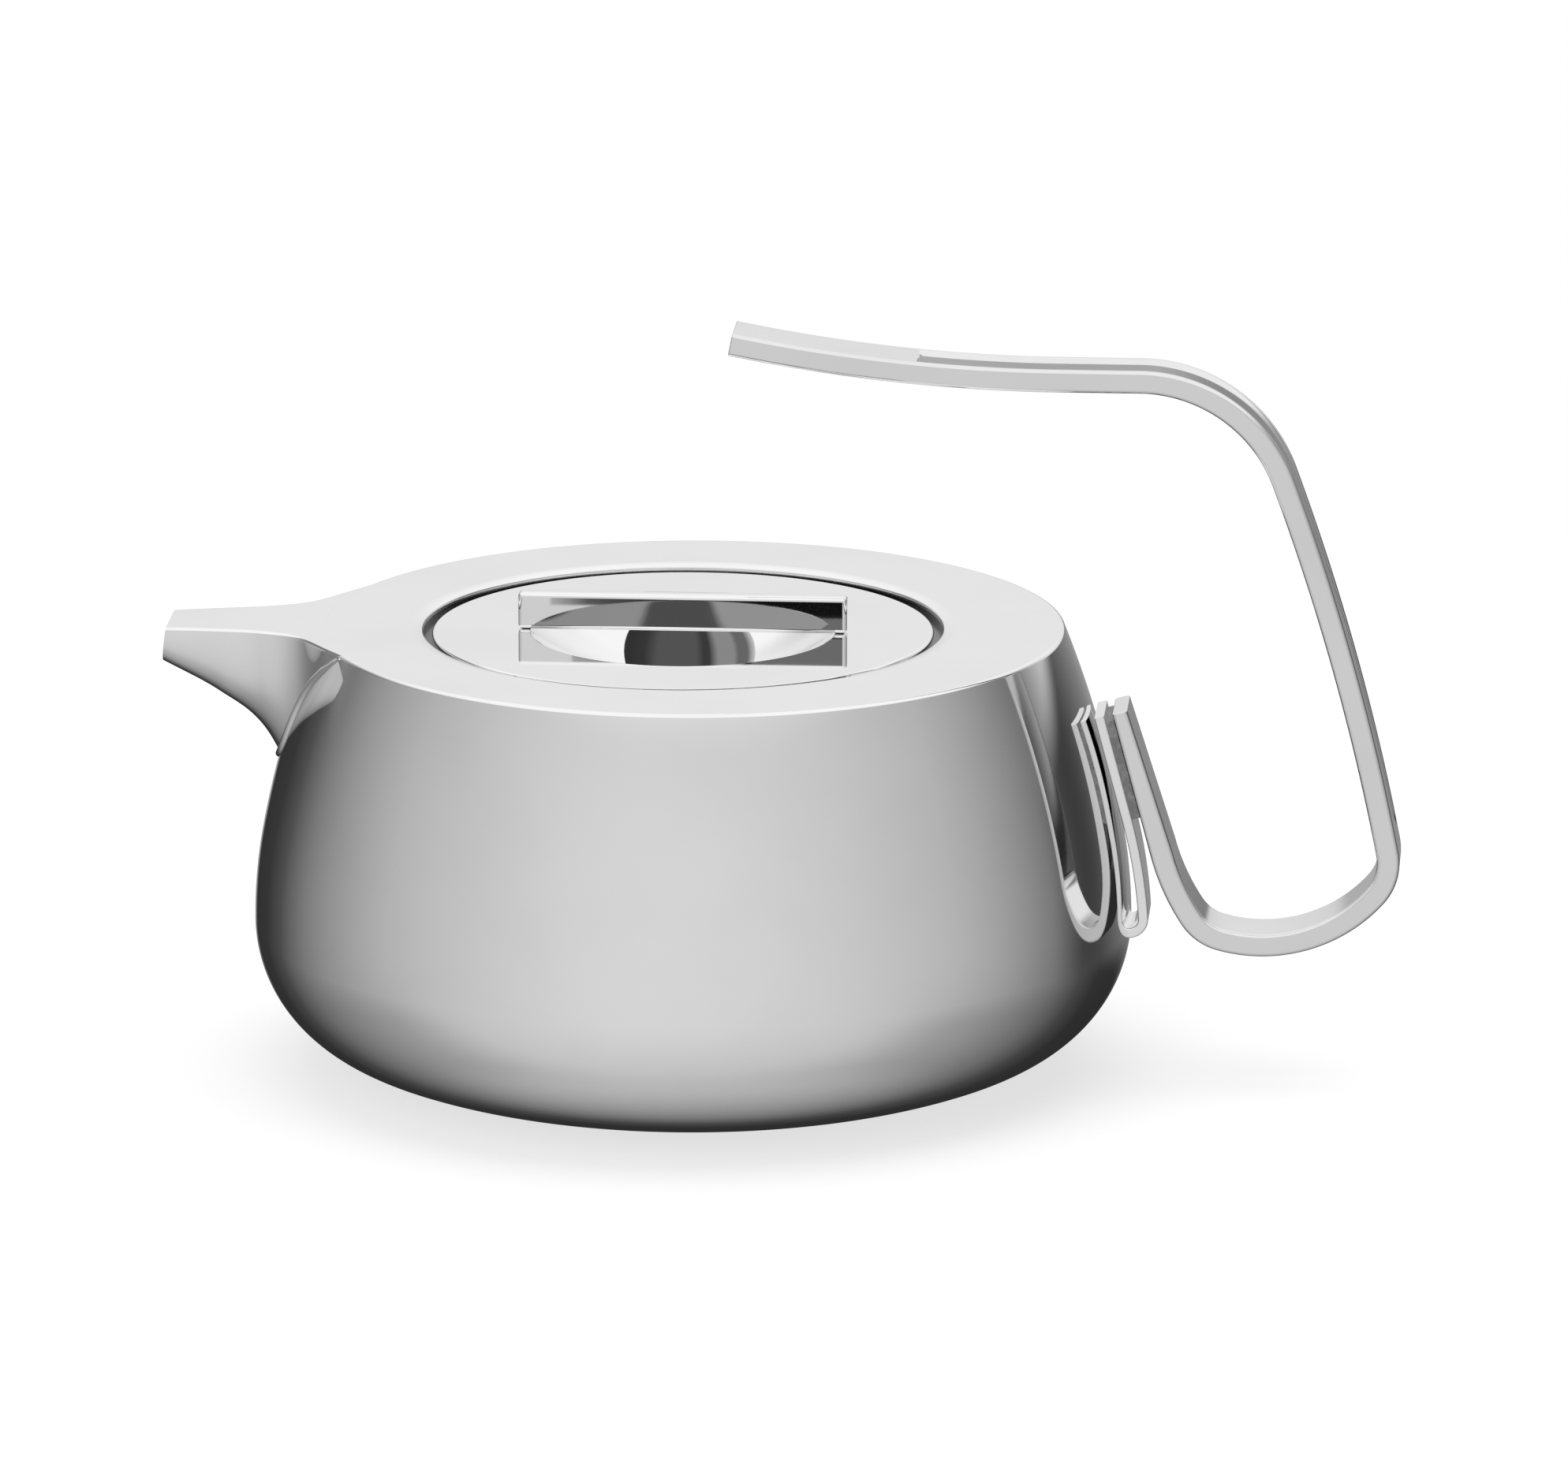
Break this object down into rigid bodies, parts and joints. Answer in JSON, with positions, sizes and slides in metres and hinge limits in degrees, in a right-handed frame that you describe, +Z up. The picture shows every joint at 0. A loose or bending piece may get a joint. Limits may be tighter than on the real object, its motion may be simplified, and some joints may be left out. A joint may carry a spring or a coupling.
{
  "type": "silver teapot",
  "caption": "Low round polished metal teapot with a beak spout, a drop-in lid with a blade grip over a finger dimple, and a looped strap handle held off the body by a heat break.",
  "frame": {"origin": "on the body's axis, on the surface that the pot stands on", "axes": "+Z up, +X from the body's axis towards the handle, so the spout points along -X"},
  "size_m": [0.2255, 0.16, 0.1375],
  "materials": {
    "silver": "polished silver",
    "heat_break": "grey insulating block"
  },
  "bodies": {
    "pot": {"body_base": "silver", "body_shell": "silver", "strainer_sheet": "silver", "shoulder_plate": "silver", "spout_trough": "silver", "lid_seat_ring": "silver", "handle_strap": "silver", "handle_bracket": "silver", "heat_break_spacer": "heat_break", "handle_pins": "silver"},
    "lid": {"lid_disc": "silver", "lid_bowl": "silver", "lid_blade": "silver", "lid_plug_ring": "silver"}
  },
  "joints": [
    {"name": "lid_lift", "type": "slide", "parent": "pot", "child": "lid", "axis": [0, 0, 1], "range_m": [0, 0.035]}
  ]
}
